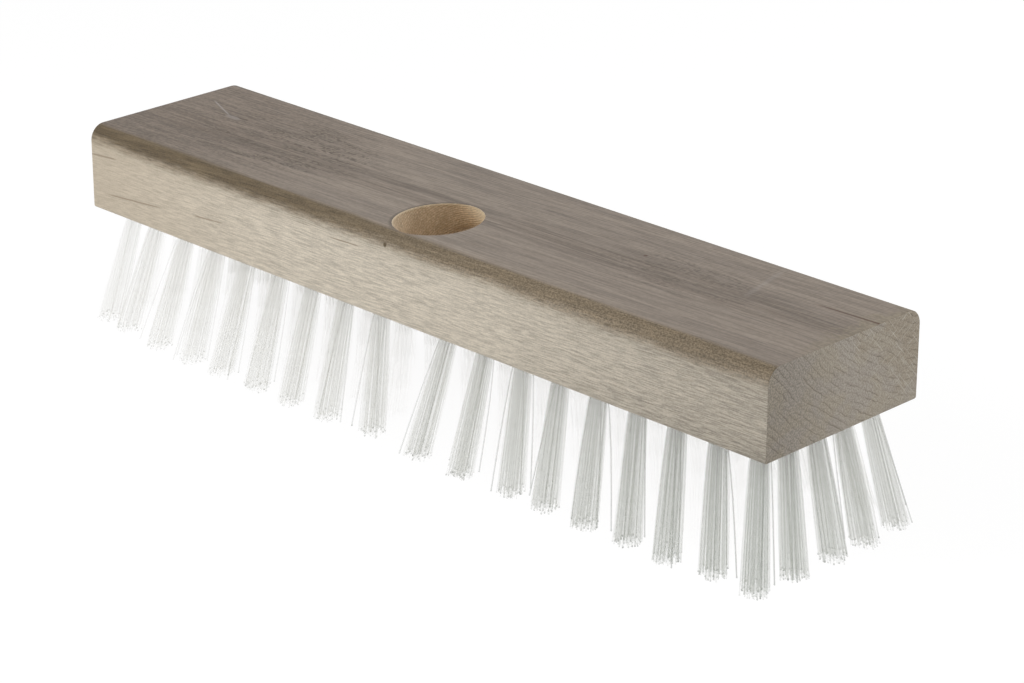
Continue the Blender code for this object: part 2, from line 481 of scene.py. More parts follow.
def cut(thing, cutter_mesh):
    """Takes a cutter out of a mesh for good. Its walls keep the cutter's own material slot."""
    cutter_mesh.polygons.foreach_set("material_index", [WALL_SLOT] * len(cutter_mesh.polygons))
    cutter = add_object("cutter", cutter_mesh)
    modifier = thing.modifiers.new("bores", "BOOLEAN")
    modifier.object = cutter
    modifier.operation = "DIFFERENCE"
    modifier.solver = "EXACT"
    graph = bpy.context.evaluated_depsgraph_get()
    mesh = bpy.data.meshes.new_from_object(thing.evaluated_get(graph))
    thing.modifiers.clear()
    thing.data = mesh
    bpy.data.objects.remove(cutter)


# %% [markdown]
# ## The wood
#
# One block of wood shows three faces. The long faces show grain as streaks, flecks and fibres along
# X. The sawn ends show the growth rings and the rays that cross them. The bored walls are fresh
# wood that no hand or daylight has greyed. All three read the same Object coordinates, so a ring
# that leaves the end runs on as a streak along the top.
#
# Noise does nearly all of it. Stretched far along X it makes grain, even on all axes it makes
# stains, and cut off at a threshold it makes flecks.

# %% Helpers for finishes
SOFT_GLOSS = 0.25  # half the gloss of a sealed surface, because bare wood and scuffed nylon scatter it
SMOOTH, ROUGH, ROUGHEST = 1.0, 2.0, 3.0  # octaves of detail in a noise
MIX_FIRST, MIX_SECOND = 6, 7  # a Mix node's colour inputs, after those for its other kinds of data
MIX_RESULT = 2  # and its colour output


def start_material(name, roughness):
    """A new material: its Principled node, and a wire on the Object coordinates."""
    material = bpy.data.materials.new(name)
    material.use_nodes = True
    shader = material.node_tree.nodes["Principled BSDF"]
    shader.inputs["Roughness"].default_value = roughness
    shader.inputs["Specular IOR Level"].default_value = SOFT_GLOSS
    place = Wire(material.node_tree).node("ShaderNodeTexCoord", output="Object")
    return material, shader, place


def feed(wire, shader, name):
    wire.tree.links.new(wire.socket, shader.inputs[name])


def noise(place, lengths, detail=ROUGHEST, shift=0.0):
    """Fractal noise from 0 to 1, in blobs about as long on each axis as the lengths, in millimetres.

    The shift moves the pattern, so that two noises don't lie alike.
    """
    scale = [1.0 / (length * MM) for length in lengths]
    sockets = {"Vector": place, "Scale": scale, "Location": (shift, shift, shift)}
    moved = place.node("ShaderNodeMapping", sockets=sockets)
    return place.node("ShaderNodeTexNoise", sockets={"Vector": moved, "Scale": 1.0, "Detail": detail})


def rise(value, low, high):
    """0 at low, 1 at high, with a smooth step between. It falls where low is above high."""
    sockets = {"Value": value, "From Min": low, "From Max": high}
    return value.node("ShaderNodeMapRange", {"interpolation_type": "SMOOTHSTEP"}, sockets)


def crisp(value, softness=0.15):
    """Noise pushed towards its two ends, so that most of it is near -0.5 or 0.5."""
    return rise(value, 0.5 - softness, 0.5 + softness) - 0.5


def opaque(colour):
    return colour if isinstance(colour, Wire) else (*colour, 1.0)


def blend(share, first, second):
    """Mix of two colours, given as (r, g, b) or wires."""
    sockets = {0: share, MIX_FIRST: opaque(first), MIX_SECOND: opaque(second)}
    return share.node("ShaderNodeMix", {"data_type": "RGBA"}, sockets, output=MIX_RESULT)


def shade(colour, factor):
    """A colour multiplied by a number that varies."""
    grey = factor.node("ShaderNodeCombineColor", sockets={0: factor, 1: factor, 2: factor})
    settings = {"data_type": "RGBA", "blend_type": "MULTIPLY"}
    sockets = {0: 1.0, MIX_FIRST: opaque(colour), MIX_SECOND: grey}
    return factor.node("ShaderNodeMix", settings, sockets, output=MIX_RESULT)


def bump(height, strength, distance):
    """A normal from a height between 0 and 1, at this distance in metres."""
    sockets = {"Height": height, "Strength": strength, "Distance": distance}
    return height.node("ShaderNodeBump", sockets=sockets)


def axes(place):
    """X, Y and Z of a position, each as a wire, in millimetres."""
    split = [place.node("ShaderNodeSeparateXYZ", sockets={0: place}, output=axis) for axis in range(3)]
    return [wire / MM for wire in split]


def position(place, x, y, z):
    """The reverse of axes: a position from three wires in millimetres."""
    return place.node("ShaderNodeCombineXYZ", sockets={0: x * MM, 1: y * MM, 2: z * MM})


# %% [markdown]
# ### Growth of the tree
#
# A board's pattern comes from where it lay in the trunk. The lines on the sawn end fall from the
# upper left to the lower right and are steeper on the near side, which puts the pith above and
# behind the block. Distance from that pith, cut into equal rings, gives the dark lines of latewood;
# turned about it, thin rays cross them. The trunk's axis isn't quite the block's, so the grain
# climbs a little from left to right on every face.
#
# From here on, lengths and places in a finish are in millimetres, but a bump's depth is in metres.
# A SIZE is a noise's length along X, Y and Z. A pair named PART, EDGE or LEVEL says where something
# starts and where it is full.

# %% Rings, rays and grain
PITH_Y = 67.0
PITH_Z = 150.0
PITH_REACH = 115.0  # about how far the block is from the pith, which turns an angle into a length
RING_WIDTH = 2.0
RING_SHARPNESS = 9.0
RING_WANDER = 4.0
RING_WOBBLE = 1.2
GRAIN_CLIMB = 0.03
GRAIN_WAVER = 2.0
WAVER_SIZE = (90, 60, 60)
STREAK_SIZE = (150, 5, 5)
FINE_SIZE = (45, 1.3, 1.3)
FIBRE_SIZE = (8, 0.36, 0.36)
FIBRE_SOFTNESS = 0.16
HAIR_SIZE = (6.0, 0.29, 0.29)
GRIT_SIZE = (0.60, 0.42, 0.42)
WANDER_ACROSS_SIZE = (260, 30, 30)
WANDER_UP_SIZE = (200, 12, 12)
WOBBLE_SIZE = (200, 4, 3)


class Grain:
    """The wires that all faces of the block share."""

    def __init__(self, place):
        self.x, self.y, self.z = axes(place)
        waver = (noise(place, WAVER_SIZE, SMOOTH, shift=4.0) - 0.5) * GRAIN_WAVER
        climb = self.x * GRAIN_CLIMB + waver
        self.run = position(place, self.x, self.y - climb, self.z - climb)
        self.streak = noise(self.run, STREAK_SIZE)
        self.fine = noise(self.run, FINE_SIZE, shift=1.7)
        self.fibre = crisp(noise(self.run, FIBRE_SIZE, SMOOTH, shift=5.1), FIBRE_SOFTNESS)
        self.hair = crisp(noise(self.run, HAIR_SIZE, SMOOTH, shift=6.4))
        self.grit = crisp(noise(place, GRIT_SIZE, SMOOTH, shift=7.3))
        across = self.y - PITH_Y + (noise(place, WANDER_ACROSS_SIZE, SMOOTH) - 0.5) * RING_WANDER
        up = self.z - PITH_Z + (noise(place, WANDER_UP_SIZE, shift=3.0) - 0.5) * RING_WANDER
        wobble = (noise(place, WOBBLE_SIZE, ROUGH, shift=5.5) - 0.5) * RING_WOBBLE
        radius = (across * across + up * up) ** 0.5 + self.x * GRAIN_CLIMB + wobble
        turn = place.maths("ARCTAN2", across, up)
        self.polar = position(place, self.x, turn * PITH_REACH, radius)
        self.rings = place.maths("FRACT", radius / RING_WIDTH) ** RING_SHARPNESS


# %% Single marks
STROKE_EDGE = (0.5, 0.28)  # distance from a stroke's middle, as a share of its length
SPOT_CORE = 0.4  # share of a spot's radius that is at its full strength
REGION_EDGE = (1.0, 0.3)  # square of the distance from a region's middle, as a share of its half size


def stroke(x, across, start, end, width):
    """A soft line from start to end, each (x, across): 1 on it, 0 beyond its width and its ends."""
    share = (x - start[0]) / (end[0] - start[0])
    line = start[1] + share * (end[1] - start[1])
    return rise(abs(across - line), width, 0.0) * rise(abs(share - 0.5), *STROKE_EDGE)


def spot(x, across, centre, radius):
    """A soft dot: 1 in its middle, 0 at its radius."""
    to_x, to_across = x - centre[0], across - centre[1]
    return rise((to_x * to_x + to_across * to_across) ** 0.5, radius, radius * SPOT_CORE)


def region(x, across, centre, half_size):
    """A soft ellipse: 1 in its middle, 0 at the half sizes."""
    to_x, to_across = (x - centre[0]) / half_size[0], (across - centre[1]) / half_size[1]
    return rise(to_x * to_x + to_across * to_across, *REGION_EDGE)


def ripple(way, pitch):
    """Even waves from 0 to 1 along the way given, as a cutter leaves."""
    return way.maths("SINE", way * (2 * math.pi / pitch)) * 0.5 + 0.5


# %% [markdown]
# ### Near and far side
#
# The planed sides are the palest wood: cream with thousands of short lengthwise flecks, which are
# the rays of beech cut end on. The right half is a shade darker, partly in the wood's own tone and
# partly as painted shade where the light falls off towards the right, and the left end a shade
# warmer. A few slanting dark streaks and a small dent are single marks, so each is one stroke or
# spot with its own place.

# %% Colour of the planed sides
SIDE_PALE = (0.560, 0.503, 0.415)
SIDE_WARM = (0.442, 0.364, 0.266)
SIDE_FLECK = (0.330, 0.278, 0.210)
SIDE_STREAK = (0.200, 0.150, 0.098)
SIDE_TONE = 0.93
SIDE_FINE, SIDE_FIBRE, SIDE_HAIR = 0.12, 0.12, 0.29  # how far each pattern moves the tone
SIDE_GRIT, SIDE_SLOW, SIDE_RINGS = 0.12, 0.12, 0.05
# The right end's darkening is partly the wood's own tone and partly painted shade, for light falling off
# towards the right.
SIDE_TONE_AND_SHADE, SIDE_LOW_DIM = 0.26, 0.10  # how much darker the right end is, and its lower edge further
SIDE_WARMTH = 0.55
RIGHT_PART = (-40.0, 130.0)
RIGHT_TONE_AND_SHADE_PART = (10.0, 150.0)
WARM_PART = (-30.0, -150.0)
LOW_PART = (50.0, 38.0)
SLOW_SIZE = (120, 9, 9)
FLECK_SIZE = (4.5, 0.34, 0.34)
FLECK_LEVEL = (0.58, 0.68)
FLECK_SHARE, FLECK_MORE = 0.15, 0.11  # at the left, and how much more at the right
NEAR_STREAKS = (((-144.0, 56.4), (-126.0, 57.8), 0.45), ((-135.0, 44.8), (-105.0, 47.2), 0.40),
                ((-92.0, 48.6), (-76.0, 49.8), 0.42), ((-30.0, 58.0), (-15.0, 58.6), 0.35))
STREAK_SHARE = 0.9
NEAR_DENT, DENT_RADIUS, DENT_SHARE = (9.0, 51.9), 1.6, 0.25
NEAR_PART = (-31.0, -31.4)


def side_colour(wood):
    right = rise(wood.x, *RIGHT_PART)
    tone = SIDE_TONE + wood.fine * SIDE_FINE + wood.fibre * SIDE_FIBRE - wood.rings * SIDE_RINGS
    tone = tone + wood.hair * SIDE_HAIR + wood.grit * SIDE_GRIT
    tone = tone + (noise(wood.run, SLOW_SIZE, ROUGH, shift=0.4) - 0.5) * SIDE_SLOW
    tone = tone - right * rise(wood.z, *LOW_PART) * SIDE_LOW_DIM
    # Painted shade in part: darker towards the right end.
    colour = shade(SIDE_PALE, tone - rise(wood.x, *RIGHT_TONE_AND_SHADE_PART) * SIDE_TONE_AND_SHADE)
    colour = blend(rise(wood.x, *WARM_PART) * SIDE_WARMTH, colour, SIDE_WARM)
    fleck = rise(noise(wood.run, FLECK_SIZE, SMOOTH, shift=9.3), *FLECK_LEVEL)
    colour = blend(fleck * (FLECK_SHARE + right * FLECK_MORE), colour, SIDE_FLECK)
    near = rise(wood.y, *NEAR_PART)
    for start, end, width in NEAR_STREAKS:
        mark = stroke(wood.x, wood.z, start, end, width) * (0.5 + wood.fine * 0.5)
        colour = blend(mark * near * STREAK_SHARE, colour, SIDE_STREAK)
    return blend(spot(wood.x, wood.z, NEAR_DENT, DENT_RADIUS) * near * DENT_SHARE, colour, SIDE_PALE)


# %% [markdown]
# ### Top and its rounded edges
#
# Handling and damp have greyed the top, and part of its darkness against the sides is painted
# shade, for less light falls on the top than on the near side. A darker band runs the whole length
# past the back of the socket, stains lie in blotches along the grain on the left third and right of
# the middle, and the planer left faint cross marks on the far half. The rounded edges took most of
# the grime, so they are an olive brown that fades downwards with a ragged edge, and there the
# cutter's chatter shows at the right.

# %% Places and strengths of what the top shows
LEFT_PART = (-30.0, -120.0)
LEFT_BROWN, LEFT_DIM, LEFT_NEAR_DIM = 0.5, 0.12, 0.13
GREY_LEVEL, GREY_SHARE = (0.38, 0.62), 0.6
BAND_MIDDLE, BAND_EDGE, BAND_SHARE = -2.0, (9.0, 3.0), 0.52
DRIFT_SIZE, BAND_DRIFT = (110, 400, 400), 8.0
THREAD_SIZE, THREAD_LEVEL = (50, 1.1, 1.1), (0.32, 0.62)
STAINS = (((-86.0, 0.0), (46.0, 24.0), 1.0), ((78.0, 2.0), (34.0, 15.0), 0.5))
STAIN_HAZE, STAIN_SPECKS = 0.15, 0.80
CLUMP_SIZE, CLUMP_LEVEL = (15, 2.0, 2.0), (0.42, 0.58)
SPECK_SIZE, SPECK_LEVEL = (1.8, 0.9, 0.9), (0.44, 0.58)
PLANER_PITCH, PLANER_SLANT, PLANER_PART = 1.45, 0.06, (-6.0, 6.0)
LINE_SIZE, LINE_LEVEL = (26, 0.5, 0.5), (0.54, 0.66)
STRAND_SIZE = (22.0, 0.8, 0.8)
TOP_GRIT_SIZE = (1.3, 0.8, 0.8)
TOP_NEAR_PART = (4.0, -20.0)
FRAY_SIZE, FRAY_DEPTH = (3.0, 3.0, 3.0), 16.0
FRAY_PART, FRAY_Y_PART, FRAY_SHARE, FRAY_GRIT = (134.0, 138.5), (-26.0, 4.0), 0.8, 0.3
SCRATCH, SCRATCH_SHARE = ((-133.0, 12.9), (-115.5, 5.4), 0.55), 0.45
SMUDGE, SMUDGE_SHARE = ((-114.5, 5.4), (4.0, 1.3)), 0.24
CROSS_MARK, CROSS_SHARE = ((28.0, 95.5), (1.0, 102.0), 1.6), 0.12  # its points are (y, x)
RUST_STREAK, RUST_SHARE = ((117.0, 12.6), (146.0, 13.9), 0.72), 0.9
TOP_DOT, TOP_DOT_SHARE = ((61.0, 7.2), 0.9), 0.8
MOUTH_X, MOUTH_Y = (float(part) / MM for part in bore_mouth[:2])  # the socket's mouth is an ellipse
MOUTH_HALF_X = SOCKET_RADIUS / MM
MOUTH_HALF_Y = SOCKET_RADIUS / MM / -float(bore_down[2])
RIM_EDGE, RIM_PART = (1.10, 1.02), (6.0, -10.0)
RIM_SHARE, RIM_FINE = 0.42, 0.6
print("socket's mouth at, mm:", round(MOUTH_X, 2), round(MOUTH_Y, 2))

# %% Colour of the top
# The top's colours are darker than the sides' partly as painted shade, where less light falls on the top,
# and partly as the greying of the wood.
TOP_TAN = (0.318, 0.266, 0.219)
TOP_GREY = (0.243, 0.204, 0.171)
TOP_BROWN = (0.256, 0.201, 0.157)
TOP_DARK = (0.142, 0.111, 0.087)
TOP_STAIN = (0.118, 0.094, 0.072)
TOP_FRAY = (0.290, 0.246, 0.184)
TOP_RUST = (0.110, 0.061, 0.042)
TOP_SCRATCH = (0.520, 0.495, 0.480)
TOP_TONE = 0.885
TOP_FINE, TOP_STRAND, TOP_GRIT, TOP_GRIT_MORE = 0.20, 0.21, 0.10, 0.09
TOP_RINGS, TOP_PLANER, TOP_LINES = 0.06, 0.06, 0.10


def band_and_stains(wood, place, colour):
    """Darkens the top's colour in the band, thread by thread, and then in the stains."""
    drift = (noise(wood.run, DRIFT_SIZE, SMOOTH, shift=4.4) - 0.5) * BAND_DRIFT
    band = rise(abs(wood.y - wood.x * GRAIN_CLIMB - BAND_MIDDLE - drift), *BAND_EDGE)
    thread = noise(wood.run, THREAD_SIZE, shift=2.9)
    colour = blend(band * rise(thread, *THREAD_LEVEL) * BAND_SHARE, colour, TOP_DARK)
    clump = rise(noise(wood.run, CLUMP_SIZE, ROUGH, shift=6.1), *CLUMP_LEVEL)
    speck = rise(noise(place, SPECK_SIZE, ROUGH, shift=2.6), *SPECK_LEVEL)
    for centre, half_size, strength in STAINS:
        stain = region(wood.x, wood.y, centre, half_size) * clump * (STAIN_HAZE + speck * STAIN_SPECKS)
        colour = blend(stain * strength, colour, TOP_STAIN)
    return colour


def top_marks(wood, colour):
    """Adds the top's single marks, and the dark rim on the left of the socket's mouth."""
    x, y = wood.x, wood.y
    colour = blend(stroke(x, y, *RUST_STREAK) * RUST_SHARE, colour, TOP_RUST)
    colour = blend(spot(x, y, *TOP_DOT) * TOP_DOT_SHARE, colour, TOP_RUST)
    colour = blend(stroke(y, x, *CROSS_MARK) * CROSS_SHARE, colour, TOP_SCRATCH)
    colour = blend(region(x, y, *SMUDGE) * SMUDGE_SHARE, colour, TOP_SCRATCH)
    colour = blend(stroke(x, y, *SCRATCH) * SCRATCH_SHARE, colour, TOP_SCRATCH)
    to_x, to_y = (x - MOUTH_X) / MOUTH_HALF_X, (y - MOUTH_Y) / MOUTH_HALF_Y
    rim = rise((to_x * to_x + to_y * to_y) ** 0.5, *RIM_EDGE)
    return blend(rim * rise(x, *RIM_PART) * (RIM_SHARE + wood.fine * RIM_FINE), colour, TOP_STAIN)


def top_colour(wood, place):
    x, y = wood.x, wood.y
    # Painted shade in part: the top's base colour is darker than the sides'.
    colour = blend(rise(wood.streak, *GREY_LEVEL) * GREY_SHARE, TOP_TAN, TOP_GREY)
    colour = band_and_stains(wood, place, colour)
    planer = ripple(x + y * PLANER_SLANT, PLANER_PITCH) * rise(y, *PLANER_PART)
    lines = rise(noise(wood.run, LINE_SIZE, SMOOTH, shift=8.8), *LINE_LEVEL)
    strand = crisp(noise(wood.run, STRAND_SIZE, SMOOTH, shift=3.6))
    grit = crisp(noise(place, TOP_GRIT_SIZE, SMOOTH, shift=1.9))
    left = rise(x, *LEFT_PART)
    tone = TOP_TONE + wood.fine * TOP_FINE + strand * TOP_STRAND + grit * (TOP_GRIT + left * TOP_GRIT_MORE)
    tone = tone - wood.rings * TOP_RINGS - planer * TOP_PLANER - lines * TOP_LINES
    tone = tone - left * rise(y, *TOP_NEAR_PART) * LEFT_NEAR_DIM
    colour = shade(blend(left * LEFT_BROWN, colour, TOP_BROWN), tone - left * LEFT_DIM)
    fray = rise(x + (noise(place, FRAY_SIZE, shift=0.7) - 0.5) * FRAY_DEPTH, *FRAY_PART)
    frayed = shade(TOP_FRAY, 1.0 + grit * FRAY_GRIT)
    colour = blend(fray * rise(y, *FRAY_Y_PART) * FRAY_SHARE, colour, frayed)
    return top_marks(wood, colour)


# %% Colour of the rounded edges
ROUND_OLIVE = (0.206, 0.162, 0.109)
ROUND_DARK = (0.100, 0.073, 0.042)
ROUND_WARM = (0.150, 0.110, 0.060)
ROUND_TONE = 0.97
ROUND_FINE, ROUND_FIBRE, ROUND_HAIR = 0.26, 0.25, 0.25
ROUND_GRIT, ROUND_GRIT_LESS = 0.55, 0.35  # at the right, and how much less at the left
ROUND_LEFT_PART, ROUND_WARMTH, ROUND_LEFT_DIM = (70.0, -110.0), 0.6, 0.15
GRIME_FOOT, GRIME_HEAD = (61.4, 62.8), (67.5, 64.0)
GRIME_SIZE, GRIME_LEVEL = (34, 1.6, 1.6), (0.25, 0.60)
GRIME_SHARE, GRIME_MORE = 0.30, 0.6
CHATTER_PITCH, CHATTER_SLANT, CHATTER_SHARE = 1.6, 0.3, 0.10
CHATTER_PART, CHATTER_LEVEL = (40.0, 90.0), (0.35, 0.65)


def rounding_colour(wood, height):
    """Olive brown, darkest in a line just above its ragged lower edge, more so to the left."""
    line = rise(height, *GRIME_FOOT) * rise(height, *GRIME_HEAD)
    left = rise(wood.x, *ROUND_LEFT_PART)
    grime = line * rise(noise(wood.run, GRIME_SIZE, shift=3.3), *GRIME_LEVEL)
    grime = grime * (GRIME_SHARE + left * GRIME_MORE)
    chatter = ripple(wood.x + wood.z * CHATTER_SLANT, CHATTER_PITCH)
    chatter = chatter * rise(wood.x, *CHATTER_PART) * rise(wood.streak, *CHATTER_LEVEL)
    colour = blend(grime, blend(left * ROUND_WARMTH, ROUND_OLIVE, ROUND_WARM), ROUND_DARK)
    tone = ROUND_TONE + wood.fine * ROUND_FINE + wood.fibre * ROUND_FIBRE + wood.hair * ROUND_HAIR
    tone = tone + wood.grit * (ROUND_GRIT - left * ROUND_GRIT_LESS)
    return shade(colour, tone - chatter * CHATTER_SHARE - left * ROUND_LEFT_DIM)


# %% Long faces of the block
RAGGED_SIZE, RAGGED_HEIGHT = (4.0, 0.6, 0.6), 2.6
SWAY_SIZE, SWAY_HEIGHT = (30, 8, 8), 2.0
HAZE_PART, HAZE_SHARE = (55.0, 63.0), 0.20
OLIVE_EDGE = (59.3, 63.8)
NEAR_DOT, DOT_RADIUS, DOT_PART = (-5.1, 61.9), 0.95, (-30.4, -31.0)
TOP_EDGE, TOP_EDGE_WANDER = (28.6, 26.9), 2.0  # how far from the middle the top's colour ends
FACE_ROUGHNESS, FACE_ROUGHNESS_VARIES = 0.61, 0.10
FIBRE_RELIEF, GRIT_RELIEF, FINE_RELIEF = 0.4, 0.3, 0.5
FACE_BUMP, FACE_BUMP_DEPTH = 0.4, 0.08 * MM


def long_face_material():
    material, shader, place = start_material("beech_long_grain", FACE_ROUGHNESS)
    wood = Grain(place)
    ragged = noise(wood.run, RAGGED_SIZE, shift=2.2) - 0.5
    sway = noise(place, SWAY_SIZE, SMOOTH, shift=7.0) - 0.5
    height = wood.z + ragged * RAGGED_HEIGHT + sway * SWAY_HEIGHT
    side = blend(rise(height, *HAZE_PART) * HAZE_SHARE, side_colour(wood), ROUND_OLIVE)
    colour = blend(rise(height, *OLIVE_EDGE), side, rounding_colour(wood, height))
    dot = spot(wood.x, wood.z, NEAR_DOT, DOT_RADIUS) * rise(wood.y, *DOT_PART)
    colour = blend(dot, colour, ROUND_DARK)
    inside = rise(abs(wood.y) + (wood.fine - 0.5) * TOP_EDGE_WANDER, *TOP_EDGE)
    colour = blend(inside, colour, top_colour(wood, place))
    feed(colour, shader, "Base Color")
    feed(FACE_ROUGHNESS + wood.fibre * FACE_ROUGHNESS_VARIES, shader, "Roughness")
    relief = wood.fibre * FIBRE_RELIEF + wood.grit * GRIT_RELIEF + wood.fine * FINE_RELIEF
    feed(bump(relief, FACE_BUMP, FACE_BUMP_DEPTH), shader, "Normal")
    return material


# %% [markdown]
# ### Sawn ends
#
# The saw left a matt, speckled face. Rings are thin broken lines and the rays that cross them are
# thinner still. Patches of olive and of grey-mauve lie over one another, the blade left pale
# crossed scratches, and a few open pores are dark dots.

# %% Sawn ends of the block
END_MAUVE = (0.338, 0.302, 0.258)
END_OLIVE = (0.345, 0.304, 0.245)
END_BROWN = (0.312, 0.266, 0.206)
END_LINE = (0.130, 0.104, 0.074)
END_PALE = (0.540, 0.500, 0.430)
END_ROUGHNESS = 0.7
END_TONE, END_SPECKLE, END_RAYS = 0.84, 0.38, 0.08
END_DIM, END_DIM_PART = 0.23, (5.0, -32.0)  # how much darker the near edge of an end is
PATCH_SIZE, PATCH_LEVEL = (40, 9, 7), (0.42, 0.62)
UPPER_SIZE, UPPER_WANDER = (40, 8, 5), 60.0
UPPER_PART, UPPER_SHARE = (66.0, 86.0), 0.85
SPECKLE_SIZE, RAY_SIZE, SPECKLE_LEVEL = (0.6, 0.5, 0.5), (40, 0.35, 4.0), (0.35, 0.65)
BROKEN_SIZE, BROKEN_LEVEL = (40, 6.0, 1.2), (0.40, 0.66)
RING_SHARE, RING_BROKEN = 0.30, 0.64
BLADE_FALL, BLADE_CLIMB = 0.6, 0.88  # slopes of the two sets of crossed scratches
FALLING_SIZE, FALLING_LEVEL = (40, 9, 0.40), (0.60, 0.72)
CLIMBING_SIZE, CLIMBING_LEVEL = (40, 0.40, 7), (0.62, 0.74)
BLADE_PART, BLADE_SHARE = (40.0, 75.0), 0.62
PORE_SIZE, PORE_LEVEL, PORE_SHARE = (9, 0.9, 0.9), (0.75, 0.81), 0.8
SPECKLE_RELIEF, PORE_RELIEF = 0.7, 0.8
END_BUMP, END_BUMP_DEPTH = 0.3, 0.10 * MM


def end_grain_material():
    material, shader, place = start_material("beech_end_grain", END_ROUGHNESS)
    wood = Grain(place)
    patch = rise(noise(place, PATCH_SIZE, ROUGH, shift=8.1), *PATCH_LEVEL)
    wander = (noise(place, UPPER_SIZE, ROUGH, shift=3.7) - 0.5) * UPPER_WANDER
    upper = rise(wood.y + wood.z + wander, *UPPER_PART)
    colour = blend(upper * UPPER_SHARE, blend(patch, END_MAUVE, END_OLIVE), END_BROWN)
    speckle = rise(noise(place, SPECKLE_SIZE, ROUGH, shift=6.6), *SPECKLE_LEVEL)
    rays = rise(noise(wood.polar, RAY_SIZE, SMOOTH, shift=1.2), *SPECKLE_LEVEL)
    tone = END_TONE + speckle * END_SPECKLE + rays * END_RAYS - rise(wood.y, *END_DIM_PART) * END_DIM
    colour = shade(colour, tone)
    broken = rise(noise(wood.polar, BROKEN_SIZE, ROUGH, shift=5.7), *BROKEN_LEVEL)
    colour = blend(wood.rings * (RING_SHARE + broken * RING_BROKEN), colour, END_LINE)
    slant = position(place, wood.x, wood.y * BLADE_FALL - wood.z, wood.y + wood.z * BLADE_CLIMB)
    blade = rise(noise(slant, FALLING_SIZE, SMOOTH, shift=0.9), *FALLING_LEVEL)
    blade = blade + rise(noise(slant, CLIMBING_SIZE, SMOOTH, shift=3.1), *CLIMBING_LEVEL)
    colour = blend(blade * rise(wood.y + wood.z, *BLADE_PART) * BLADE_SHARE, colour, END_PALE)
    pore = rise(noise(place, PORE_SIZE, SMOOTH, shift=2.4), *PORE_LEVEL)
    colour = blend(pore * PORE_SHARE, colour, END_LINE)
    feed(colour, shader, "Base Color")
    feed(bump(speckle * SPECKLE_RELIEF - pore * PORE_RELIEF, END_BUMP, END_BUMP_DEPTH), shader, "Normal")
    return material


# %% [markdown]
# ### Bored walls
#
# Nothing has greyed the wood inside the socket: it is the warm colour that all of it had when
# fresh. The bit's lips left rings round the wall, one for each turn, and tore the fibres here and
# there, which leaves bright flecks. The rings follow the depth along the bore, which is the
# position's dot product with the bore's axis. Painted shade darkens the left of the wall, and
# painted light brightens its right and its lower, deeper part, where the rings are fainter too.

# %% Bored walls
BORE_WARM = (0.840, 0.655, 0.458)
BORE_DARK = (0.390, 0.280, 0.175)
BORE_PALE_AND_LIT = (0.990, 0.875, 0.670)
BORE_ROUGHNESS = 0.6
BORE_STRAND_SIZE, BORE_CLOUD_SIZE = (6, 0.6, 0.6), (9, 5, 5)
STRAND_WEIGHT, CLOUD_WEIGHT = 0.6, 0.4
BORE_LEVEL, BORE_DARK_SHARE = (0.60, 0.40), 0.50
# Painted shade on the left of the wall, and painted light on its right and its deeper part.
BORE_LEFT_PART, BORE_LEFT_PAINTED_SHADE = (0.0, -12.0), 0.31
BORE_RIGHT_PART, BORE_RIGHT_PAINTED_LIGHT = (-8.0, 4.0), 0.95
DEEP_PART, DEEP_RIGHT_PART, DEEP_PAINTED_LIGHT = (2.0, 9.0), (-10.0, 4.0), 0.6
TURN_WAVER, TURN_SHARPNESS = 0.4, 2.0
# The rings fade at the right as painted light.
TURN_SHARE, TURN_LESS, TURN_PART = 0.80, 0.48, (-4.0, 8.0)  # the rings, and how much fainter at the right
BORE_GRIT, BORE_HAIR = 0.15, 0.15
TORN_SIZE, TORN_LEVEL = (2.2, 0.6, 0.6), (0.56, 0.68)
TORN_SHARE, TORN_MORE, TORN_PART = 0.3, 0.6, (0.0, 8.0)
LIP_PART, LIP_SHARE = (65.2, 65.9), 0.5  # heights of the pale edge at the mouth
STRAND_RELIEF, TURN_RELIEF, TORN_RELIEF = 0.5, 0.5, 0.5
BORE_BUMP, BORE_BUMP_DEPTH = 0.6, 0.20 * MM


def bore_depth(place):
    """Distance from the socket's mouth along its axis."""
    down = [float(part) for part in bore_down]
    sockets = {0: place, 1: down}
    along = place.node("ShaderNodeVectorMath", {"operation": "DOT_PRODUCT"}, sockets, output="Value")
    return along / MM - float(bore_mouth @ bore_down) / MM


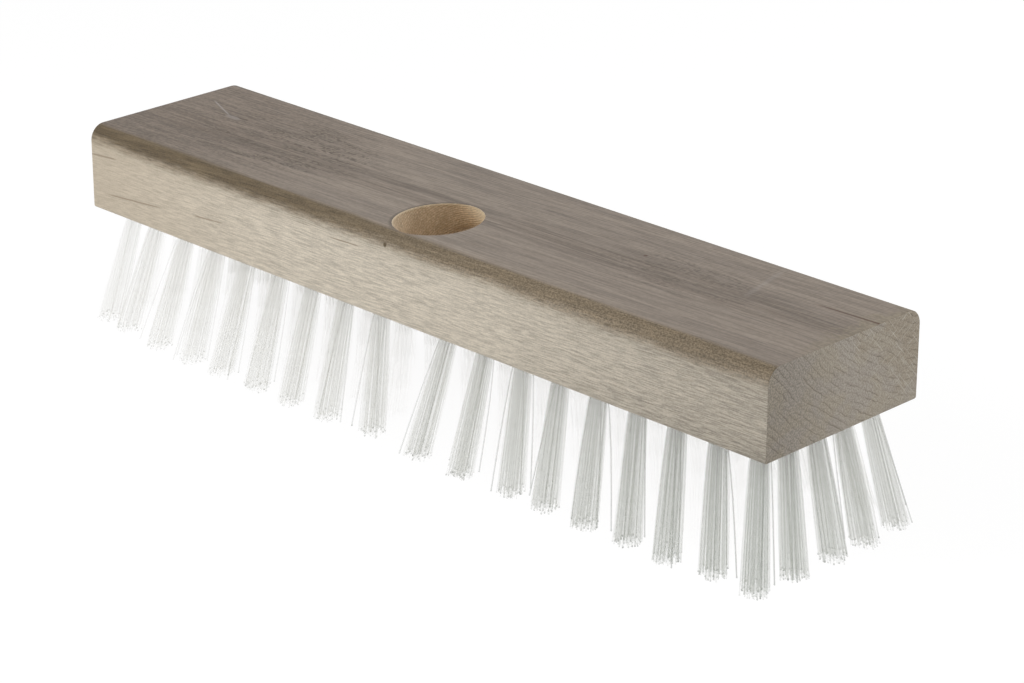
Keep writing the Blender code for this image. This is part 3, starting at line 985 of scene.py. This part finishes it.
def bored_material():
    material, shader, place = start_material("beech_fresh_cut", BORE_ROUGHNESS)
    wood = Grain(place)
    depth = bore_depth(place)
    turns = ripple(depth + (wood.fine - 0.5) * TURN_WAVER, FEED_PITCH / MM)
    strands = noise(wood.run, BORE_STRAND_SIZE, shift=1.1)
    cloud = noise(place, BORE_CLOUD_SIZE, ROUGH, shift=7.7)
    dark = rise(strands * STRAND_WEIGHT + cloud * CLOUD_WEIGHT, *BORE_LEVEL)
    colour = blend(dark * BORE_DARK_SHARE, BORE_WARM, BORE_DARK)
    # Painted light on the right and deeper part of the wall, painted shade on its left, and fainter rings
    # on the right as more painted light.
    right = rise(wood.x, *BORE_RIGHT_PART) * BORE_RIGHT_PAINTED_LIGHT
    painted_shade = shade(colour, 1.0 - rise(wood.x, *BORE_LEFT_PART) * BORE_LEFT_PAINTED_SHADE)
    colour = blend(right, painted_shade, BORE_PALE_AND_LIT)
    deep_painted_light = rise(depth, *DEEP_PART) * rise(wood.x, *DEEP_RIGHT_PART)
    colour = blend(deep_painted_light * DEEP_PAINTED_LIGHT, colour, BORE_PALE_AND_LIT)
    ringed = turns ** TURN_SHARPNESS * (TURN_SHARE - rise(wood.x, *TURN_PART) * TURN_LESS)
    colour = blend(ringed, colour, BORE_DARK)
    colour = shade(colour, 1.0 + wood.grit * BORE_GRIT + wood.hair * BORE_HAIR)
    torn = rise(noise(wood.run, TORN_SIZE, ROUGH, shift=4.2), *TORN_LEVEL)
    colour = blend(torn * (TORN_SHARE + rise(wood.x, *TORN_PART) * TORN_MORE), colour, BORE_PALE_AND_LIT)
    colour = blend(rise(wood.z, *LIP_PART) * LIP_SHARE, colour, BORE_PALE_AND_LIT)
    feed(colour, shader, "Base Color")
    relief = strands * STRAND_RELIEF - turns * TURN_RELIEF + torn * TORN_RELIEF
    feed(bump(relief, BORE_BUMP, BORE_BUMP_DEPTH), shader, "Normal")
    return material


# %% Assemble the block
END_SLOT = 2
END_FACING = 0.9  # share of a face's normal along X, above which it belongs to a sawn end
SHARP_ANGLE = 12.0


def add_block():
    mesh = skin("block_body", body)
    for material in (long_face_material(), bored_material(), end_grain_material()):
        mesh.materials.append(material)
    block = add_object("beech_block", mesh)
    cut(block, skin("tuft_holes", hole_rings()))
    cut(block, skin("socket", bore_rings()[None]))
    mesh = block.data
    normals = np.zeros(len(mesh.polygons) * 3, np.float32)
    mesh.polygons.foreach_get("normal", normals)
    slots = np.zeros(len(mesh.polygons), np.int32)
    mesh.polygons.foreach_get("material_index", slots)
    facing_end = np.abs(normals.reshape(-1, 3)[:, 0]) > END_FACING
    slots[facing_end & (slots != WALL_SLOT)] = END_SLOT
    mesh.polygons.foreach_set("material_index", slots)
    smooth(mesh, SHARP_ANGLE)
    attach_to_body(block, "root")
    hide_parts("block")
    return block


block = add_block()
print("beech_block:", len(block.data.polygons), "faces")

# %% [markdown]
# ## The bristles
#
# A tuft is a bundle of straight nylon filaments, folded in the middle and driven into its hole with
# a wire anchor. The hole holds the bundle tight, and below it the filaments flare. Each filament
# here is a thin five-sided tube of its own, set in its hole by the sunflower rule, which packs a
# disc evenly. It runs to the same place on a wider disc at the tips, with a little bow, a little
# error and an uneven end. A few strays in each tuft lean out of it along the brush's edge.

# %% Filaments
FILAMENTS = 110  # in a tuft
FILAMENT_RADIUS = 0.22 * MM
FILAMENT_SIDES = 5
TIP_RADIUS = 4.2 * MM
TIP_ERROR = 0.14 * MM
BOW = 0.18 * MM
FLARE = 0.6  # power of the share of the way down: below 1, most of the spreading is near the hole
TIP_RISE = 2.4 * MM  # most that an ordinary filament is short of the trimmed plane
SHORT_SHARE = 0.05
SHORT_RISE = 8.0 * MM  # most that one of the few short filaments is
STRAYS = 3  # in a tuft
STRAY_ALONG = 3.6 * MM
STRAY_ACROSS = 1.4 * MM
STRAY_TONE = 1.25  # ordinary filaments have a tone from 0 to 1
TUFT_ERROR = 0.7 * MM
ROOT_SHARE = -0.12  # shares are of the way from the hole's mouth down to the tips
TIP_START = 0.99
STATIONS = np.array([ROOT_SHARE, 0.0, 0.06, 0.18, 0.45, 0.75, 0.988, 0.991, 1.0])
TIP_STATIONS = STATIONS > TIP_START
TIP_SWELL = 0.12  # the cut leaves a bead, wider than the filament by this share
TIP_MARGIN = (2.5 * MM, 0.8 * MM)  # how far a tip may be outside the frame's box, along and across
GOLDEN_ANGLE = math.pi * (3.0 - math.sqrt(5.0))
SEED = 11


# %% How the tufts lean
GAP_LEAN = 4.0 * MM  # how far the near tufts beside the gap in their row lean over it
GAP_REACH_LEFT = 55.0 * MM
GAP_REACH_RIGHT = 25.0 * MM
END_START = 104.0 * MM
LEFT_CURB = 0.45  # share of the sideways fan that the tufts at the left end lack
RIGHT_CURB = 0.20
LEFT_SPREAD = 2.0 * MM

middle_x = columns_x[TUFT_COLUMNS // 2]
column_step = columns_x[-1] - columns_x[-2]


def tuft_tip(x, y):
    """Middle of a tuft's tips: the straight axis, with three changes that use has made.

    The near tufts beside the gap in their row lean over it, less with distance. Towards both ends the
    tufts fan out less to the sides, and at the left end they fan out more along X.
    """
    tip = tuft_axis(x, y, 0.0)
    reach = GAP_REACH_LEFT if x < middle_x else GAP_REACH_RIGHT
    beside = max(0.0, 1.0 - (abs(x - middle_x) - column_step) / reach)
    if y < -last_row + MM and x != middle_x:
        tip[0] += math.copysign(GAP_LEAN * beside, middle_x - x)
    endness = max(0.0, (abs(x) - END_START) / (last_column - END_START))
    tip[1] -= y / last_row * SIDE_LEAN * (LEFT_CURB if x < 0.0 else RIGHT_CURB) * endness
    if x < 0.0:
        tip[0] -= LEFT_SPREAD * endness
    return tip


def tuft_rings(x, y, rng):
    """One tuft as an array of (filaments, stations, sides, 3), and a tone for each filament.

    Filament i of n sits at sqrt((i + 1/2) / n) of the disc's radius, turned by i golden angles. A
    station's centre is the tuft's axis at its share of the way down, plus the filament's place on the
    disc, which goes from the hole's to the tips' by share ** flare, plus bow * sin(pi * share). Its ring
    is a level circle. A tip that would lie outside the limit is mirrored in it.
    """
    i = np.arange(FILAMENTS)
    turn = i * GOLDEN_ANGLE + rng.uniform(0.0, 2 * math.pi)
    spoke = np.sqrt((i + 0.5) / FILAMENTS)[:, None] * np.stack([np.cos(turn), np.sin(turn)], axis=1)
    error = np.full((FILAMENTS, 2), TIP_ERROR)
    tone = rng.uniform(0.0, 1.0, FILAMENTS)
    stray = rng.choice(FILAMENTS, STRAYS, replace=False)
    at_end = abs(x) > last_column - MM
    error[stray] = (STRAY_ACROSS, STRAY_ALONG) if at_end else (STRAY_ALONG, STRAY_ACROSS)
    tone[stray] = STRAY_TONE
    root = tuft_axis(x, y, face_height)
    tip = tuft_tip(x, y)
    tip[:2] += rng.normal(0.0, TUFT_ERROR, 2)
    place = tip[:2] + spoke * TIP_RADIUS + rng.normal(0.0, 1.0, (FILAMENTS, 2)) * error
    limit = np.array(cad_box[1][:2]) + TIP_MARGIN
    place = np.where(abs(place) > limit, np.sign(place) * (2 * limit - abs(place)), place)
    missing = TIP_RISE * rng.uniform(0.0, 1.0, FILAMENTS) ** 2
    shorter = SHORT_RISE * rng.uniform(0.0, 1.0, FILAMENTS)
    missing += shorter * (rng.uniform(0.0, 1.0, FILAMENTS) < SHORT_SHARE)
    share = STATIONS * np.where(STATIONS > 0.0, 1.0 - missing[:, None] / face_height, 1.0)
    down = share.clip(0.0)[:, :, None]
    inner = spoke * (HOLE_RADIUS - FILAMENT_RADIUS)
    outer = place - tip[:2]
    way = rng.uniform(0.0, 2 * math.pi, FILAMENTS)
    bow = BOW * rng.normal(0.0, 1.0, FILAMENTS)[:, None] * np.column_stack([np.cos(way), np.sin(way)])
    spread = (outer - inner)[:, None] * down ** FLARE
    flat = inner[:, None] + spread + bow[:, None] * np.sin(math.pi * down)
    centre = root + (tip - root) * share[:, :, None]
    centre[:, :, :2] += flat
    ring = np.column_stack([circle(FILAMENT_SIDES), np.zeros(FILAMENT_SIDES)])
    radius = FILAMENT_RADIUS * (1.0 + TIP_SWELL * TIP_STATIONS)
    return centre[:, :, None] + ring[::-1] * radius[:, None, None], tone


# %% [markdown]
# ### Clear nylon
#
# Real filaments bend light, so a tuft shows the white studio behind it, a little greyed where many
# filaments overlap. A glass shader would need dozens of bounces to find its way out of a tuft. Here
# each wall lets nearly all light straight through and scatters the rest, forwards and back, which
# adds up over a tuft to the same pale grey. Four attributes vary it: a tone for each filament, how
# cloudy each tuft is, which is partly scuffed nylon and partly painted shade and light, how far down
# the filament a point is, and a mark on the cut tips, which like the grey lines of some filaments is
# painted dark refraction.

# %% Clear nylon
CLEAR_WHITE = (0.97, 0.95, 0.87)
# The cloudy grey is partly the scuffed nylon's own colour and partly painted shade.
CLOUDY_SHADED_GREY = (0.62, 0.65, 0.59)
# Painted dark refraction: the grey lines and tip marks stand for the dark edges and cut ends that a clear
# filament shows where it bends light from the studio's dark side.
REFRACTION_LINE_GREY = (0.30, 0.32, 0.30)
REFRACTION_TIP_GREY = (0.14, 0.15, 0.14)
NYLON_ROUGHNESS = 0.3
NYLON_TONE, TONE_VARIES = 0.92, 0.08  # shade of the darkest filament, and how much lighter the palest is
LINE_START = 0.85  # tone from which a filament shows as a grey line, most of all a stray
CLEAR_OPACITY = 0.002  # of one wall of a filament
CLOUDY_OPACITY = 0.108
LINE_OPACITY = 0.24
TIP_OPACITY = 0.34
ROOT_OPACITY = 0.75  # share of the opacity that is left at the hole
TONE_OPACITY, TONE_OPACITY_MORE = 0.85, 0.2
FRONT_OPACITY, RIM_OPACITY_MORE = 0.97, 0.25
TRANSLUCENT_SHARE = 0.5  # at full cloudiness, less where the nylon is clearer


def attribute(place, name):
    return place.node("ShaderNodeAttribute", {"attribute_name": name}, output="Fac")


def filament_material():
    material, shader, place = start_material("clear_nylon", NYLON_ROUGHNESS)
    tone, cloud, reach, tip = (attribute(place, name) for name in ("tone", "cloud", "reach", "tip"))
    line = rise(tone, LINE_START, STRAY_TONE) * cloud
    colour = shade(blend(cloud, CLEAR_WHITE, CLOUDY_SHADED_GREY), NYLON_TONE + tone * TONE_VARIES)
    # Painted dark refraction: grey lines on some filaments and dark marks on the cut tips.
    colour = blend(line, colour, REFRACTION_LINE_GREY)
    colour = blend(tip, colour, REFRACTION_TIP_GREY)
    feed(colour, shader, "Base Color")
    behind = place.node("ShaderNodeBsdfTranslucent", sockets={"Color": (*CLOUDY_SHADED_GREY, 1.0)})
    front = Wire(place.tree, shader.outputs["BSDF"])
    share = cloud * TRANSLUCENT_SHARE
    scattered = place.node("ShaderNodeMixShader", sockets={0: share, 1: front, 2: behind})
    rim = place.node("ShaderNodeLayerWeight", sockets={"Blend": 0.5}, output="Facing")
    opacity = CLEAR_OPACITY + cloud * (CLOUDY_OPACITY - CLEAR_OPACITY)
    opacity = opacity * (TONE_OPACITY + tone * TONE_OPACITY_MORE) * (FRONT_OPACITY + rim * RIM_OPACITY_MORE)
    opacity = opacity + line * LINE_OPACITY
    opacity = opacity * (ROOT_OPACITY + reach * (1.0 - ROOT_OPACITY)) + tip * TIP_OPACITY
    clear = place.node("ShaderNodeBsdfTransparent")
    mixed = place.node("ShaderNodeMixShader", sockets={0: opacity, 1: clear, 2: scattered})
    output = place.tree.nodes["Material Output"]
    place.tree.links.new(mixed.socket, output.inputs["Surface"])
    return material


# %% Tufts, one piece for each column
# Cloud is partly scuffed nylon and partly painted shade and light: the near row and right end are greyed as
# if in shade, and the inner and far tufts, most of all at the right, are kept clear as if the light behind
# them made them vanish.
INNER_CLOUD = 0.060
INNER_CLEARING = 0.85  # share of the inner tufts' cloud that is gone at the right end
FAR_CLOUD = 0.20
FAR_CLEARING = 0.75  # share of the far row's cloud that is gone where it is clearest
CLEAREST = 1.5  # power that moves the clearest place from the middle to the right
LEFT_CLOUD = 0.24
CLOUD_POWER = 1.40
FAR_FADE = 0.32
INNER_TIP = 0.03  # how strongly the tips inside the brush are marked, against 1 at its cloudiest edge
EDGE_TIP = 0.4
TIP_RARITY = 4  # power that leaves strong marks to a few tips
NYLON_SHARP_ANGLE = 80.0
TRANSPARENT_BOUNCES = 96  # enough for a ray along a whole column of tufts


def scuff_and_shade(x, y):
    """The near row and right end are cloudiest, most at their corner: scuffing and painted shade."""
    along = (x + last_column) / (2 * last_column)
    across = (y + last_row) / (2 * last_row)
    if y < -last_row + MM or x > last_column - MM:
        return (LEFT_CLOUD + (1.0 - LEFT_CLOUD) * along ** CLOUD_POWER) * (1.0 - FAR_FADE * across)
    if y > last_row - MM:
        return FAR_CLOUD * (1.0 - FAR_CLEARING * math.sin(math.pi * along ** CLEAREST))
    return INNER_CLOUD * (1.0 - INNER_CLEARING * along)


def attach(mesh, name, values):
    made = mesh.attributes.new(name, "FLOAT", "POINT")
    made.data.foreach_set("value", values.astype(np.float32).ravel())


def add_tufts():
    rng = np.random.default_rng(SEED)
    material = filament_material()
    made = []
    for node, column in zip(columns, tufts):
        rings, tone = (np.concatenate(part) for part in zip(*[tuft_rings(x, y, rng) for x, y in column]))
        mesh = skin(node, rings)
        each_point = np.ones(rings.shape[:3])
        attach(mesh, "tone", each_point * tone[:, None, None])
        cloud = np.repeat([scuff_and_shade(x, y) for x, y in column], FILAMENTS)
        attach(mesh, "cloud", each_point * cloud[:, None, None])
        attach(mesh, "reach", STATIONS.clip(0.0)[None, :, None] * each_point)
        strength = np.where(cloud < LEFT_CLOUD, INNER_TIP, EDGE_TIP + cloud * (1.0 - EDGE_TIP))
        mark = rng.uniform(0.0, 1.0, len(rings)) ** TIP_RARITY * strength
        attach(mesh, "tip", mark[:, None, None] * TIP_STATIONS[None, :, None] * each_point)
        mesh.materials.append(material)
        smooth(mesh, NYLON_SHARP_ANGLE)
        piece = add_object(node.replace("tuft_column", "bristles"), mesh)
        # Clear nylon hardly holds back light, so it shades nothing, and light between surfaces skips it.
        piece.visible_shadow = False
        piece.visible_diffuse = False
        piece.visible_transmission = False
        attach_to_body(piece, "root")
        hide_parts(node)
        made.append(piece)
    return made


bpy.context.scene.cycles.transparent_max_bounces = TRANSPARENT_BOUNCES
bristles = add_tufts()
faces = sum(len(piece.data.polygons) for piece in bristles)
print("bristles:", faces, "faces on", len(bristles), "pieces")

# %% [markdown]
# ## Sizes
#
# The looks have to fit the solids that they dress. Here the frame's box is written.

# %% Write the frame's box and finish
print("cad box, mm:", [[round(v / MM, 2) for v in corner] for corner in cad_box])
